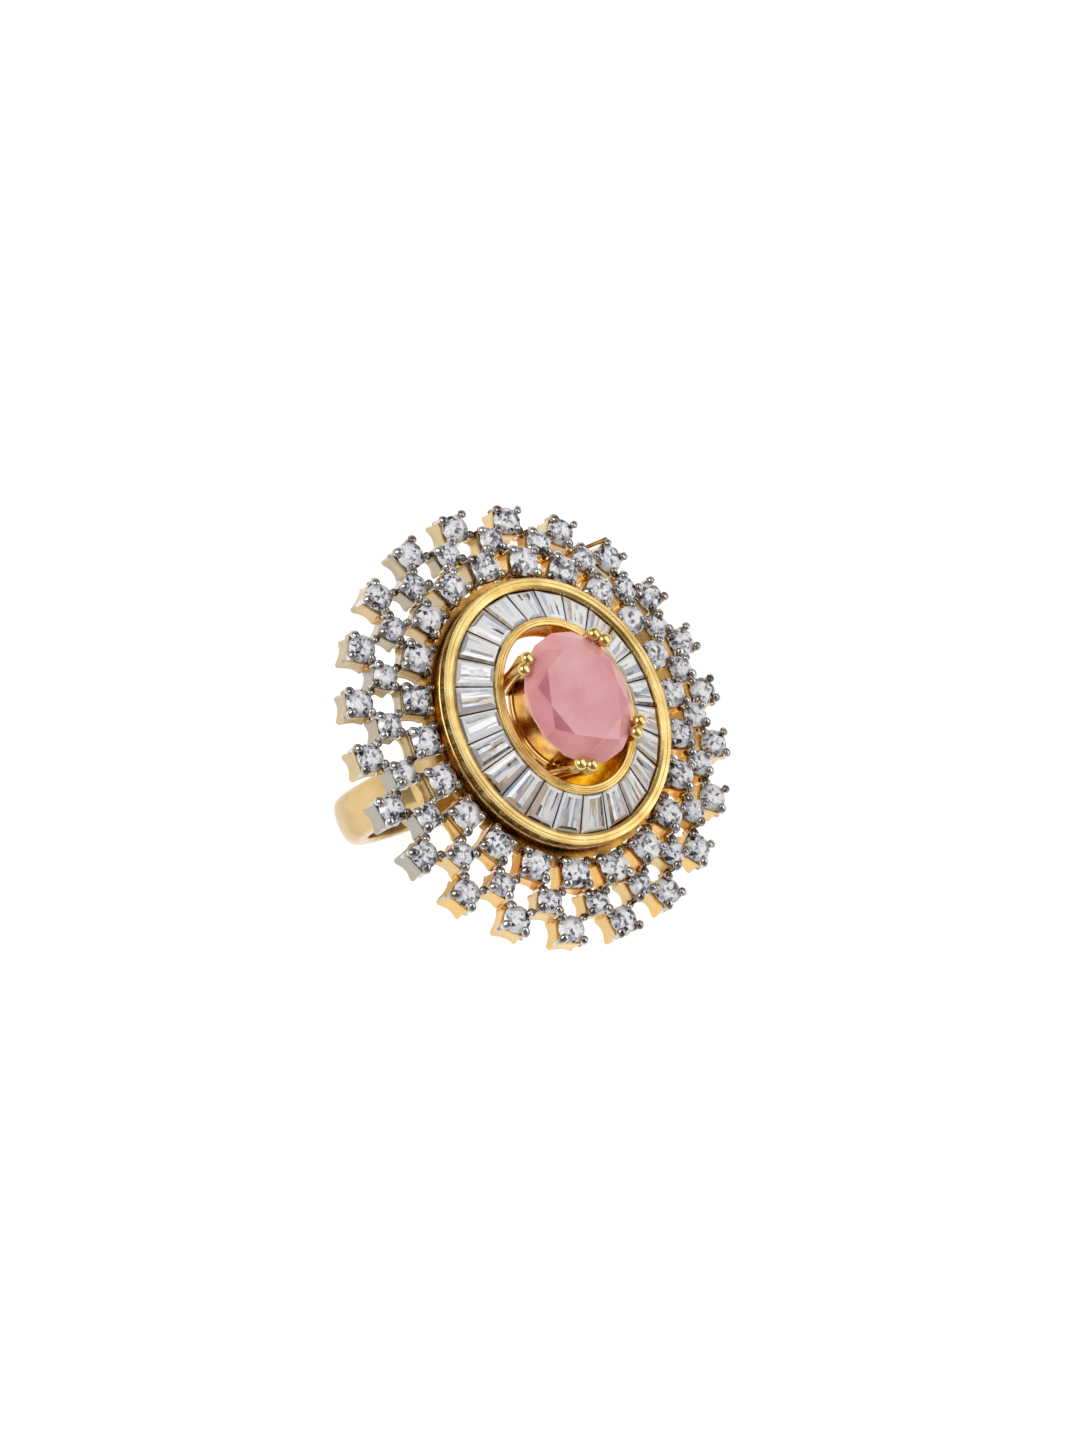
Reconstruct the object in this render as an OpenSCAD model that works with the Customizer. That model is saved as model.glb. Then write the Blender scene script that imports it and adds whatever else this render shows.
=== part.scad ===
// Cocktail ring: a raised oval stone, a channel of tapered baguettes round it,
// and a stepped halo of three rows of round stones, on a plain half-round shank.
// Z points away from the back of the finger, Y runs along the finger and X
// across it. The origin is the centre of the finger bore. Sizes in millimetres.

/* [Shank] */
// Inside diameter, the finger size
bore_d = 17.3; // [15:0.1:20]
// Thickness at the crown of the half-round section
shank_thick = 1.7; // [1.3:0.1:2.2]
// Width along the finger
shank_w = 3.6; // [3.3:0.1:5]
// Radius of the rounded outer face across its width
shank_crown_r = 4.5; // [3:0.1:8]

/* [Head] */
// Height of the outer rail's top above the bore's centre
rail_top = 17.8; // [17:0.1:20]
// Half of the outer rail's long axis
rail_long = 10.1; // [10:0.05:10.3]
// Half of the outer rail's short axis
rail_short = 8.6; // [8.5:0.05:8.7]
// Width of the outer rail's flat top
rail_w = 0.85; // [0.7:0.05:0.9]
// Half of the inner rail's long axis
inner_long = 6.7; // [6.6:0.05:6.8]
// Half of the inner rail's short axis
inner_short = 5.25; // [5.2:0.05:5.3]
// Width of the inner rail's flat top
inner_w = 0.65; // [0.5:0.05:0.7]
// Rise of the inner rail above the outer rail
inner_rise = 1.5; // [1.2:0.1:1.6]
// Number of tapered baguettes between the rails
baguette_n = 24; // [20:1:26]

/* [Centre stone] */
// Half of the stone's long axis
stone_long = 5; // [4.9:0.05:5]
// Half of the stone's short axis
stone_short = 4; // [3.9:0.05:4]
// Height of the stone's girdle above the outer rail
stone_rise = 3.5; // [3.3:0.1:3.8]
// Angles of the four claws round the stone, from the X axis
claw_angles = [42, 138, 244, 318]; // [0:1:360]

/* [Halo] */
// Stones in each row
ray_n = 22; // [20:1:22]
// Outer row: half long axis, half short axis, drop below the rail's top
outer_row = [15.5, 13.65, 3.7]; // [0:0.05:20]
// Middle row: half long axis, half short axis, drop below the rail's top
middle_row = [13.85, 12, 2.7]; // [0:0.05:20]
// Inner row: half long axis, half short axis, drop below the rail's top
inner_row = [11.8, 10, 1.7]; // [0:0.05:20]
// Stone diameters of the outer, middle and inner row
halo_stone_d = [2.05, 1.85, 2.2]; // [1.5:0.05:2.3]
// Collet sides of the outer, middle and inner row
halo_side = [2.1, 1.85, 2.25]; // [1.6:0.05:2.3]
// Height of a collet's walls
collet_h = 2.1; // [1.8:0.1:2.6]

/* [Hidden] */
// Sides of every round face, and of every oval
$fn = 64;
OVAL_N = 96;
EPS = 0.01;

// Angle by which the rays close up towards the ends of the long axis, so that
// the stones are spaced evenly along each oval
RAY_WARP = 2.8;

OUTER = 0;
MIDDLE = 1;
INNER = 2;
ROWS = [outer_row, middle_row, inner_row];
// Middle stones stand between the rays, and the other two rows on them
RAY_SHIFT = [0, 0.5, 0];

// Shank
bore_r = bore_d / 2;
shank_r = bore_r + shank_thick;

// Channel, as heights above the bore's centre
rail_h = 0.8;
inner_rail_h = 0.9;
groove_h = 0.25;
step_h = 0.45;
step_out = 0.05;
skirt_inset = 0.2;
skirt_w = 0.5;
skirt_bottom = rail_top - 2.6;
inner_top = rail_top + inner_rise;
inner_skirt_bottom = rail_top - 1.1;
inner_skirt_w = 0.4;
seat_depth = 1.25;
seat_thick = 0.5;

// Baguettes
bag_gap = 0.05;
bag_below_rail = 0.12;
bag_crown = 0.28;
bag_depth = 1.05;

// Gallery
base_h = 1;
base_w = 1.1;
base_inset = 0.7;
base_bottom = rail_top - 5.4;
base_top = base_bottom + base_h;
post_n = 16;
post_r = 0.42;
shoulder_w = 3.2;
shoulder_foot = [9.3, 4.7];
shoulder_crook = [4.6, 9.3];
waist_r = 6.9;
waist_out = 5.6;
waist_down = 2.8;
arch_r = 2.35;
arch_x = 3.2;
arch_down = 1.2;

// Centre basket and stone
girdle_z = rail_top + stone_rise;
girdle_half = 0.1;
crown_h = 1;
pavilion_h = 2.4;
table_ratio = 0.68;
keel_ratio = 0.12;
basket_bottom = rail_top - 0.8;
basket_top = girdle_z - 0.6;
basket_inset_low = 0.75;
basket_inset_high = 0.35;
basket_wall = 0.35;
band_h = 0.55;
band_w = 0.55;
band_long = stone_long - basket_inset_low + 0.08;
band_short = stone_short - basket_inset_low + 0.08;
well_long = inner_long - skirt_inset - inner_skirt_w;
well_short = inner_short - skirt_inset - inner_skirt_w;
well_rim = 0.15;
well_windows = [[68, 124], [140, 236]];
claw_r = 0.42;
claw_spread = 0.44;
claw_out_low = -0.25;
claw_out_high = 0.5;
claw_top = girdle_z + 0.2;
bead_r = 0.54;
bead_out = 0.25;
bead_rise = 0.62;

// Halo settings
collet_wall = 0.35;
collet_below_girdle = 0.3;
arch_leg = 0.3;
arch_rise = 0.35;
halo_claw_r = 0.16;
halo_claw_inset = 0.1;
halo_bead_r = 0.34;
halo_claw_foot = -1.1;
halo_bead_rise = 0.25;
solder_r = 0.2;
link_w = 0.8;
link_h = 0.5;
link_reach = 1.2;
link_below_rail = 2.55;
web_w = 0.5;
web_reach = 0.7;
web_gap = 0.1;

GOLD = [0.9, 0.72, 0.32];
RHODIUM = [0.7, 0.7, 0.72];
CLEAR = [0.9, 0.92, 0.95];
ROSE = [0.82, 0.58, 0.58];

function baguette_name(i) = str("baguette_", i < 9 ? "0" : "", i + 1);

// ---- Geometry helpers -------------------------------------------------------

// Angle round an oval of ray number k out of count
function ray(k, count) = let (even = 90 - 360 * k / count) even - RAY_WARP * sin(2 * even);

// A point on the oval whose half axes are long (Y) and short (X)
function on_oval(long, short, angle, z) = [short * cos(angle), long * sin(angle), z];

function oval(long, short, z) =
    [for (i = [0 : OVAL_N - 1]) on_oval(long, short, 360 * i / OVAL_N, z)];

function flat(points) = [for (p = points) [p.x, p.y]];

// An upright oval ring: half axes of its outer face, width and heights
module oval_ring(long, short, w, z_low, z_high) {
    translate([0, 0, z_low])
        linear_extrude(z_high - z_low)
            difference() {
                polygon(flat(oval(long, short, 0)));
                polygon(flat(oval(long - w, short - w, 0)));
            }
}

// Two triangles for each side between outline low and outline high of n points
function band_faces(low, high, n) = [
    for (i = [0 : n - 1])
        let (next = (i + 1) % n, a = low * n + i, b = high * n + i, c = high * n + next, d = low * n + next)
        each [[a, b, c], [a, c, d]]];

// A solid through stacked outlines, listed from the bottom up
module loft(outlines) {
    n = len(outlines[0]);
    top = len(outlines) - 1;
    polyhedron(
        points = [for (outline = outlines) each outline],
        faces = concat(
            [for (i = [1 : n - 2]) [0, i, i + 1]],
            [for (i = [1 : n - 2]) [top * n, top * n + i + 1, top * n + i]],
            [for (j = [0 : top - 1]) each band_faces(j, j + 1, n)]));
}

// A ring through closed outlines, listed up the outside and down the inside
module ring_loft(outlines) {
    n = len(outlines[0]);
    m = len(outlines);
    polyhedron(
        points = [for (outline = outlines) each outline],
        faces = [for (j = [0 : m - 1]) each band_faces(j, (j + 1) % m, n)]);
}

// A round rod from one point to another
module rod(from, to, r) {
    run = to - from;
    flat_run = norm([run.x, run.y]);
    translate(from)
        rotate([0, atan2(flat_run, run.z), atan2(run.y, run.x)])
            cylinder(r = r, h = norm(run));
}

// Places its children at stone k of a halo row, with X pointing outwards and
// the origin on the stone's girdle
module at_stone(row, k) {
    long = ROWS[row][0];
    short = ROWS[row][1];
    angle = ray(k + RAY_SHIFT[row], ray_n);
    translate(on_oval(long, short, angle, rail_top - ROWS[row][2]))
        rotate([0, 0, atan2(short * sin(angle), long * cos(angle))])
            children();
}

// ---- Shank and gallery ------------------------------------------------------

module shank_body() {
    rotate([90, 0, 0])
        rotate_extrude()
            intersection() {
                translate([shank_r - shank_crown_r, 0])
                    circle(r = shank_crown_r);
                translate([bore_r, -shank_w / 2])
                    square([shank_thick + EPS, shank_w]);
            }
}

module shank() {
    color(GOLD) shank_body();
}

// A waisted bracket that carries the gallery on one side of the shank
module shoulder() {
    outer = rail_short - base_inset;
    color(GOLD)
        difference() {
            translate([0, shoulder_w / 2, 0])
                rotate([90, 0, 0])
                    linear_extrude(shoulder_w)
                        difference() {
                            polygon([
                                [outer - base_w - 1.6, base_bottom], [outer, base_bottom],
                                shoulder_foot, shoulder_crook]);
                            translate([rail_short + waist_out, base_bottom - waist_down])
                                circle(r = waist_r);
                            translate([arch_x, base_bottom - arch_down])
                                circle(r = arch_r);
                        }
            shank_body();
            rotate([90, 0, 0])
                cylinder(r = bore_r + shank_thick / 2, h = 4 * shoulder_w, center = true);
        }
}

module gallery_base() {
    color(GOLD)
        oval_ring(rail_long - base_inset, rail_short - base_inset, base_w, base_bottom, base_top);
}

module gallery_posts() {
    inset = base_inset + base_w / 2;
    color(GOLD)
        for (k = [0 : post_n - 1])
            translate(on_oval(rail_long - inset, rail_short - inset, ray(k + 0.5, post_n), base_top))
                cylinder(r = post_r, h = skirt_bottom - base_top);
}

// ---- Channel ----------------------------------------------------------------

module outer_skirt() {
    color(GOLD)
        oval_ring(rail_long - skirt_inset, rail_short - skirt_inset, skirt_w,
                  skirt_bottom, rail_top - rail_h);
}

module outer_step() {
    top = rail_top - rail_h - groove_h;
    color(GOLD)
        oval_ring(rail_long + step_out, rail_short + step_out, skirt_inset + step_out, top - step_h, top);
}

module outer_rail() {
    color(GOLD)
        oval_ring(rail_long, rail_short, rail_w, rail_top - rail_h, rail_top);
}

module channel_seat() {
    out_long = rail_long - skirt_inset - skirt_w;
    out_short = rail_short - skirt_inset - skirt_w;
    in_long = inner_long - skirt_inset;
    in_short = inner_short - skirt_inset;
    out_z = rail_top - seat_depth;
    in_z = inner_top - seat_depth;
    color(GOLD)
        ring_loft([
            oval(out_long, out_short, out_z - seat_thick),
            oval(out_long, out_short, out_z),
            oval(in_long, in_short, in_z),
            oval(in_long, in_short, in_z - seat_thick)]);
}

module inner_skirt() {
    color(GOLD)
        oval_ring(inner_long - skirt_inset, inner_short - skirt_inset, inner_skirt_w,
                  inner_skirt_bottom, inner_top - inner_rail_h);
}

module inner_rail() {
    color(GOLD)
        oval_ring(inner_long, inner_short, inner_w, inner_top - inner_rail_h, inner_top);
}

// A point of the channel: across runs from 0 at the outer rail to 1 at the inner
function in_channel(across, angle, depth) =
    let (out_long = rail_long - rail_w - bag_gap,
         out_short = rail_short - rail_w - bag_gap,
         in_long = inner_long + bag_gap,
         in_short = inner_short + bag_gap)
    on_oval(out_long + across * (in_long - out_long),
            out_short + across * (in_short - out_short),
            angle,
            rail_top - bag_below_rail + across * inner_rise - depth);

// Four corners of baguette i, drawn in by margin at each edge
function baguette_outline(i, margin, depth) =
    let (from = ray(i + 0.97 - 0.94 * margin, baguette_n),
         to = ray(i + 0.03 + 0.94 * margin, baguette_n))
    [in_channel(margin / 2, from, depth), in_channel(margin / 2, to, depth),
     in_channel(1 - margin / 2, to, depth), in_channel(1 - margin / 2, from, depth)];

module baguette(i) {
    color(CLEAR)
        loft([baguette_outline(i, 0.3, bag_depth),
              baguette_outline(i, 0, bag_crown),
              baguette_outline(i, 0.2, 0)]);
}

// ---- Centre stone and basket ------------------------------------------------

// A point at the stone's edge moved outwards, at claw i
function at_claw(i, out, z) = on_oval(stone_long + out, stone_short + out, claw_angles[i], z);

module basket_band() {
    color(GOLD)
        oval_ring(band_long, band_short, band_w, basket_bottom, basket_bottom + band_h);
}

module basket_wall_shell() {
    low = basket_inset_low;
    high = basket_inset_high;
    z_low = basket_bottom + band_h;
    ring_loft([
        oval(stone_long - low, stone_short - low, z_low),
        oval(stone_long - high, stone_short - high, basket_top),
        oval(stone_long - high - basket_wall, stone_short - high - basket_wall, basket_top),
        oval(stone_long - low - basket_wall, stone_short - low - basket_wall, z_low)]);
}

module basket_wall() {
    color(GOLD) basket_wall_shell();
}

module well_window(from, to) {
    intersection() {
        difference() {
            polygon(flat(oval(well_long - well_rim, well_short - well_rim, 0)));
            polygon(flat(oval(band_long, band_short, 0)));
        }
        polygon([[0, 0], for (a = [from : 8 : to]) rail_long * [cos(a), sin(a)]]);
    }
}

module well_floor() {
    color(GOLD)
        translate([0, 0, inner_skirt_bottom])
            linear_extrude(basket_bottom - inner_skirt_bottom)
                difference() {
                    polygon(flat(oval(well_long, well_short, 0)));
                    polygon(flat(oval(band_long - band_w, band_short - band_w, 0)));
                    for (window = well_windows)
                        well_window(window[0], window[1]);
                }
}

// Two wires side by side, each ending in a bead over the stone's edge
module centre_claw(i) {
    tangent = [-sin(claw_angles[i]), cos(claw_angles[i]), 0];
    color(GOLD)
        union()
            for (side = [-claw_spread, claw_spread]) {
                rod(at_claw(i, claw_out_low, basket_bottom) + side * tangent,
                    at_claw(i, claw_out_high, claw_top) + side * tangent,
                    claw_r);
                translate(at_claw(i, bead_out, girdle_z + bead_rise) + side * tangent)
                    sphere(r = bead_r);
            }
}

module centre_stone() {
    color(ROSE)
        loft([
            oval(stone_long * (keel_ratio + 0.1), stone_short * keel_ratio, girdle_z - girdle_half - pavilion_h),
            oval(stone_long, stone_short, girdle_z - girdle_half),
            oval(stone_long, stone_short, girdle_z + girdle_half),
            oval(stone_long * table_ratio, stone_short * table_ratio, girdle_z + girdle_half + crown_h)]);
}

// ---- Halo -------------------------------------------------------------------

// Children at the four corners of a collet, drawn in from its faces
module at_corners(row) {
    reach = halo_side[row] / 2 - halo_claw_inset;
    for (x = [-reach, reach], y = [-reach, reach])
        translate([x, y, 0])
            children();
}

module halo_claw_wire() {
    translate([0, 0, halo_claw_foot])
        cylinder(r = halo_claw_r, h = halo_bead_rise - halo_claw_foot, $fn = 24);
}

// A square box setting with a shallow arch cut through each pair of walls
module collet(row) {
    side = halo_side[row];
    bore = side - 2 * collet_wall;
    top = -collet_below_girdle;
    half_span = side / 2 - arch_leg;
    wall_arch_r = (half_span * half_span + arch_rise * arch_rise) / (2 * arch_rise);
    difference() {
        translate([-side / 2, -side / 2, top - collet_h])
            cube([side, side, collet_h]);
        translate([-bore / 2, -bore / 2, top - collet_h - EPS])
            cube([bore, bore, collet_h + 2 * EPS]);
        for (turn = [0, 90])
            translate([0, 0, top - collet_h + arch_rise - wall_arch_r])
                rotate([90, 0, turn])
                    cylinder(r = wall_arch_r, h = 2 * side, center = true);
        at_corners(row) halo_claw_wire();
    }
}

module collet_row(row) {
    color(GOLD)
        for (k = [0 : ray_n - 1])
            at_stone(row, k) collet(row);
}

module claw_row(row) {
    color(RHODIUM)
        for (k = [0 : ray_n - 1])
            at_stone(row, k)
                at_corners(row)
                    union() {
                        halo_claw_wire();
                        translate([0, 0, halo_bead_rise])
                            sphere(r = halo_bead_r, $fn = 24);
                    }
}

// A round brilliant as plain cones, with its girdle at the origin
module round_stone(d) {
    r = d / 2;
    rotate_extrude($fn = 32)
        polygon([
            [0, -0.86 * r], [r, -0.04], [r, 0.04], [0.56 * r, 0.3 * r], [0, 0.3 * r]]);
}

module stone_row(row) {
    color(CLEAR)
        for (k = [0 : ray_n - 1])
            at_stone(row, k) round_stone(halo_stone_d[row]);
}

// Solder between the facing corners of the outer and middle collets
module solder_outer() {
    reach = halo_side[OUTER] / 2;
    overlap = collet_h - (outer_row[2] - middle_row[2]);
    color(GOLD)
        for (k = [0 : ray_n - 1], side = [-1, 1])
            at_stone(OUTER, k)
                translate([-reach + 0.1, side * (reach + 0.03), -collet_below_girdle - overlap])
                    cylinder(r = solder_r, h = overlap - 0.1, $fn = 24);
}

// Solder between the middle collets and the inner ones they stand against
module solder_inner() {
    reach = halo_side[MIDDLE] / 2;
    overlap = collet_h - (middle_row[2] - inner_row[2]);
    color(GOLD)
        for (k = [0 : ray_n - 1], side = [-1, 1])
            at_stone(MIDDLE, k)
                translate([-reach - 0.04, side * (reach - 0.25), -collet_below_girdle - overlap])
                    cylinder(r = solder_r, h = overlap - 0.1, $fn = 24);
}

// Short bars that hold the inner row of collets to the channel's skirt
module halo_links() {
    z = inner_row[2] - link_below_rail;
    low = rail_top - link_below_rail;
    reach = halo_side[INNER] / 2;
    inset = reach + web_gap;
    color(GOLD)
        difference() {
            union() {
                for (k = [0 : ray_n - 1]) {
                    at_stone(INNER, k)
                        translate([-reach - link_reach, -link_w / 2, z])
                            cube([link_reach, link_w, link_h]);
                    at_stone(INNER, k + 0.5)
                        translate([-reach - link_reach, -web_w / 2, z])
                            cube([link_reach + web_reach, web_w, link_h]);
                }
                oval_ring(inner_row[0] - inset, inner_row[1] - inset, link_reach, low, low + link_h);
            }
            translate([0, 0, skirt_bottom - 1])
                linear_extrude(2 * collet_h)
                    polygon(flat(oval(rail_long - skirt_inset, rail_short - skirt_inset, 0)));
        }
}

shank();
mirror([1, 0, 0]) shoulder();  // shoulder_left
shoulder();  // shoulder_right
gallery_base();
gallery_posts();
outer_skirt();
outer_step();
outer_rail();
channel_seat();
inner_skirt();
inner_rail();
basket_band();
basket_wall();
well_floor();
centre_claw(0);  // centre_claw_1
centre_claw(1);  // centre_claw_2
centre_claw(2);  // centre_claw_3
centre_claw(3);  // centre_claw_4
centre_stone();
collet_row(OUTER);  // collets_outer
collet_row(MIDDLE);  // collets_middle
collet_row(INNER);  // collets_inner
claw_row(OUTER);  // claws_outer
claw_row(MIDDLE);  // claws_middle
claw_row(INNER);  // claws_inner
stone_row(OUTER);  // stones_outer
stone_row(MIDDLE);  // stones_middle
stone_row(INNER);  // stones_inner
solder_outer();
solder_inner();
halo_links();
for (i = [0 : baguette_n - 1])
    baguette(i);
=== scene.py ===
import math
import random

import bmesh
import bpy
import numpy as np
from mathutils import Matrix, Vector


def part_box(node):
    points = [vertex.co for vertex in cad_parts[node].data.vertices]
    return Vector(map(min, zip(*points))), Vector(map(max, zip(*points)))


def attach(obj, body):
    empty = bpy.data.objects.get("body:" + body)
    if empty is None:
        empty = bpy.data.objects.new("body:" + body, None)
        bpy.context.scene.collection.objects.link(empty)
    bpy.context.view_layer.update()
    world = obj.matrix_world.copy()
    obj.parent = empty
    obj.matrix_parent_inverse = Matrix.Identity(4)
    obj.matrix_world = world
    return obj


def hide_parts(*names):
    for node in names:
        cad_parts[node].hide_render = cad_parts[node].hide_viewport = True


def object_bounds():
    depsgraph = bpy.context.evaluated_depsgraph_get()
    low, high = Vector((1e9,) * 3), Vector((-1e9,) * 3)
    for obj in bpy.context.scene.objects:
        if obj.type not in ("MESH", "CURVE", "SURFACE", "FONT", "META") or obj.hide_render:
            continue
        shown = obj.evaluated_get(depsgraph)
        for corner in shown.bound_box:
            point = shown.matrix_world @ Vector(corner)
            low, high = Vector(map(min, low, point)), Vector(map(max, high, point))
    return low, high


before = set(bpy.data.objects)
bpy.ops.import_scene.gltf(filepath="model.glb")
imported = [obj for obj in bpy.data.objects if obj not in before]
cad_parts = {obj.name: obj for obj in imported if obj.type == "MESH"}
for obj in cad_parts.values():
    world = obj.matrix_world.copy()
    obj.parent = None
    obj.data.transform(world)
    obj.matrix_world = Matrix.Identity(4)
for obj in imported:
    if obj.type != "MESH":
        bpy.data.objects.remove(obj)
cad_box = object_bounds()

MM = 0.001
TAU = 2 * math.pi
chance = random.Random(11)

# ---- The ring's own numbers, in millimetres ---------------------------------

ROWS = ("outer", "middle", "inner")
COLLET_SIDE = {"outer": 2.1, "middle": 1.85, "inner": 2.25}
COLLET_H = 2.1
COLLET_TOP = -0.3
COLLET_WALL = 0.35
ARCH_LEG = 0.3
ARCH_RISE = 0.35
CORNER = 0.22
WAIST = 0.07
FLARE = 0.03
CLAW_INSET = 0.1
HALO_BEAD_R = 0.34
HALO_CLAW_FOOT = -1.1
HALO_BEAD_Z = 0.25
PAVILION = 0.86
CROWN = 0.3

RAIL_W = 0.85
BAG_GAP = 0.05
BAG_DROP = 0.12
BAG_DEPTH = 1.05
BAG_GIRDLE = 0.28
BAGUETTES = 24
RAY_WARP = 2.8

# Plating: bearings, in degrees from +X, where the collets turn pale, grey and warm
GILDING = {"outer": 0.55, "middle": 0.5, "inner": 0.68}
PALE_FROM, GREY_FROM, GREY_TO = 85, 177, 212
GREY_FOOT_FROM, GREY_FOOT_TO = 262, 292
WARM_FROM = 200

# A stray wire from the middle row's collet to the outer stone at this bearing
LOOSE_WIRE_AT = 38
LOOSE_WIRE = ((-1.03, 2.13, 0.0), (-0.4, 1.86, 0.12), (0.3, 1.45, 0.2), (1.0, 1.0, 0.25))
LOOSE_WIRE_R = (0.17, 0.16, 0.16, 0.19)

SHADED_SIDE = Vector((0.98, 0.2, 0))
CLAW_ANGLES = (42, 138, 244, 318)
GIRDLE_HALF = 0.1
CENTRE_PAVILION = 2.4
CENTRE_TABLE = 0.7

BORE_R = 8.65
SHANK_CROWN_R = 4.5
RIM = 0.22
FILLET = 0.6

SADDLE_R = 10.15
WAIST_CENTRE = (14.2, 9.6)
WAIST_R = 6.9
WAIST_FOOT = 6.65
WAIST_THINNING = 0.22
THINNING_FROM = 6.6
ARCH_CENTRE = (3.2, 11.2)
ARCH_R = 2.35
ARCH_FOOT = 9.35
BRACKET_ROUND = 0.3

GALLERY_W = 1.1
SKIRT_W = 0.5
INNER_SKIRT_W = 0.4
BAND_W = 0.55
CUP_INSET = 0.35
CUP_TAPER = 0.4
CUP_SAG = 0.12
CUP_W = 0.35

CENTRE_CLAW_SPREAD = 0.44
CENTRE_CLAW_RADII = (0.42, 0.37, 0.35, 0.37, 0.38, 0.34)
CENTRE_BEAD_R = 0.54
CENTRE_BEAD_OUT = 0.25
CENTRE_BEAD_RISE = 0.62


# ---- Mesh helpers -----------------------------------------------------------


class Shape:
    """Vertices in millimetres, faces, a material number and a shade value for each face."""

    def __init__(self):
        self.verts, self.faces, self.kinds, self.shades = [], [], [], []

    def add(self, verts, faces, place=None, kind=0, shades=None):
        start = len(self.verts)
        place = place or Matrix.Identity(4)
        self.verts += [place @ Vector(v) for v in verts]
        self.faces += [[start + i for i in f] for f in faces]
        kinds = kind if isinstance(kind, list) else [kind] * len(faces)
        self.kinds += kinds
        self.shades += shades or [0.5] * len(faces)


def skin(rings, closed=False):
    """Quads between rings of points. Closed joins the last ring to the first, open caps both ends."""
    n, m = len(rings[0]), len(rings)
    verts = [p for ring in rings for p in ring]
    faces = []
    for j in range(m if closed else m - 1):
        low, high = j * n, ((j + 1) % m) * n
        for i in range(n):
            k = (i + 1) % n
            faces.append([low + i, low + k, high + k, high + i])
    if not closed:
        faces.append(list(range(n))[::-1])
        faces.append([(m - 1) * n + i for i in range(n)])
    return verts, faces


def oval_point(long, short, angle, z):
    return Vector((short * math.cos(angle), long * math.sin(angle), z))


def oval_sweep(long, short, profile, steps=192):
    """A ring whose section is profile, a list of (outwards, z), carried round the oval."""
    rings = [
        [oval_point(long + out, short + out, TAU * i / steps, z) for i in range(steps)]
        for out, z in profile
    ]
    return skin(rings, closed=True)


def lathe(profile, steps=14, axis=None):
    """A solid of revolution about Z through (radius, z) pairs, moved sideways by axis(z)."""
    rings = []
    for r, z in profile:
        dx, dy = axis(z) if axis else (0, 0)
        rings.append(
            [
                Vector((dx + r * math.cos(TAU * i / steps), dy + r * math.sin(TAU * i / steps), z))
                for i in range(steps)
            ]
        )
    return skin(rings)


def tube(points, radii, steps=14):
    """A round rod through points with a radius at each."""
    rings = []
    for i, (p, r) in enumerate(zip(points, radii)):
        along = (points[min(i + 1, len(points) - 1)] - points[max(i - 1, 0)]).normalized()
        side = along.orthogonal().normalized()
        if i:
            side = (last - along * last.dot(along)).normalized()
        last = side
        up = along.cross(side)
        rings.append(
            [p + r * (math.cos(a) * side + math.sin(a) * up) for a in (TAU * k / steps for k in range(steps))]
        )
    return skin(rings)


def ball(centre, r, squash=1.0, steps=14):
    profile = [
        (r * math.sin(math.pi * i / 10), -r * squash * math.cos(math.pi * i / 10)) for i in range(1, 10)
    ]
    verts, faces = lathe(profile, steps)
    return [v + centre for v in verts], faces


def piece(name, shape, materials, slot, *nodes, smooth=35):
    """Makes the object, in metres, with sharp edges past smooth degrees, and puts it in the frame."""
    mesh = bpy.data.meshes.new(name)
    mesh.from_pydata([tuple(v * MM) for v in shape.verts], [], shape.faces)
    mesh.update()
    for m in materials:
        mesh.materials.append(m)
    mesh.polygons.foreach_set("material_index", shape.kinds)
    shade = mesh.attributes.new("shade", "FLOAT", "FACE")
    shade.data.foreach_set("value", shape.shades)
    edit = bmesh.new()
    edit.from_mesh(mesh)
    bmesh.ops.recalc_face_normals(edit, faces=edit.faces)
    edit.to_mesh(mesh)
    edit.free()
    if smooth:
        mesh.polygons.foreach_set("use_smooth", [True] * len(mesh.polygons))
        mesh.set_sharp_from_angle(angle=math.radians(smooth))
    obj = bpy.data.objects.new(name, mesh)
    bpy.context.scene.collection.objects.link(obj)
    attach(obj, "root")
    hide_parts(*nodes)


def keep(node, material):
    """Leaves a CAD node as it is, and gives it a material."""
    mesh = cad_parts[node].data
    mesh.materials.clear()
    mesh.materials.append(material)


def half_axes(node):
    """Half long axis, half short axis, bottom and top of a node, in millimetres."""
    low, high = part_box(node)
    return high.y / MM, high.x / MM, low.z / MM, high.z / MM


def solids(node):
    """The lowest and highest corner, in mm, of each separate solid of a node, in order round Z."""
    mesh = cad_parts[node].data
    co = np.array([v.co for v in mesh.vertices]) / MM
    keys = {}
    owner = [keys.setdefault(tuple(p), len(keys)) for p in np.round(co, 3)]
    parent = list(range(len(keys)))

    def root(i):
        while parent[i] != i:
            parent[i] = parent[parent[i]]
            i = parent[i]
        return i

    for face in mesh.polygons:
        first = root(owner[face.vertices[0]])
        for v in face.vertices[1:]:
            parent[root(owner[v])] = first
    groups = {}
    for v, key in enumerate(owner):
        groups.setdefault(root(key), []).append(v)
    boxes = [(co[g].min(0), co[g].max(0)) for g in groups.values()]
    return sorted(boxes, key=lambda b: math.atan2(b[0][1] + b[1][1], b[0][0] + b[1][0]))


# ---- Materials --------------------------------------------------------------

# Texture scales, in cells per metre
SCRATCHES = 2600
POLISH = 3000


def new_material(name):
    m = bpy.data.materials.new(name)
    m.use_nodes = True
    nodes, links = m.node_tree.nodes, m.node_tree.links
    nodes.clear()
    out = nodes.new("ShaderNodeOutputMaterial")
    bsdf = nodes.new("ShaderNodeBsdfPrincipled")
    links.new(bsdf.outputs["BSDF"], out.inputs["Surface"])
    return m, nodes, links, bsdf


def coords(nodes):
    return nodes.new("ShaderNodeTexCoord").outputs["Object"]


def shade_value(nodes):
    """The tone that a piece's mesh gives each face."""
    shade = nodes.new("ShaderNodeAttribute")
    shade.attribute_name = "shade"
    return shade.outputs["Fac"]


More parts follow.
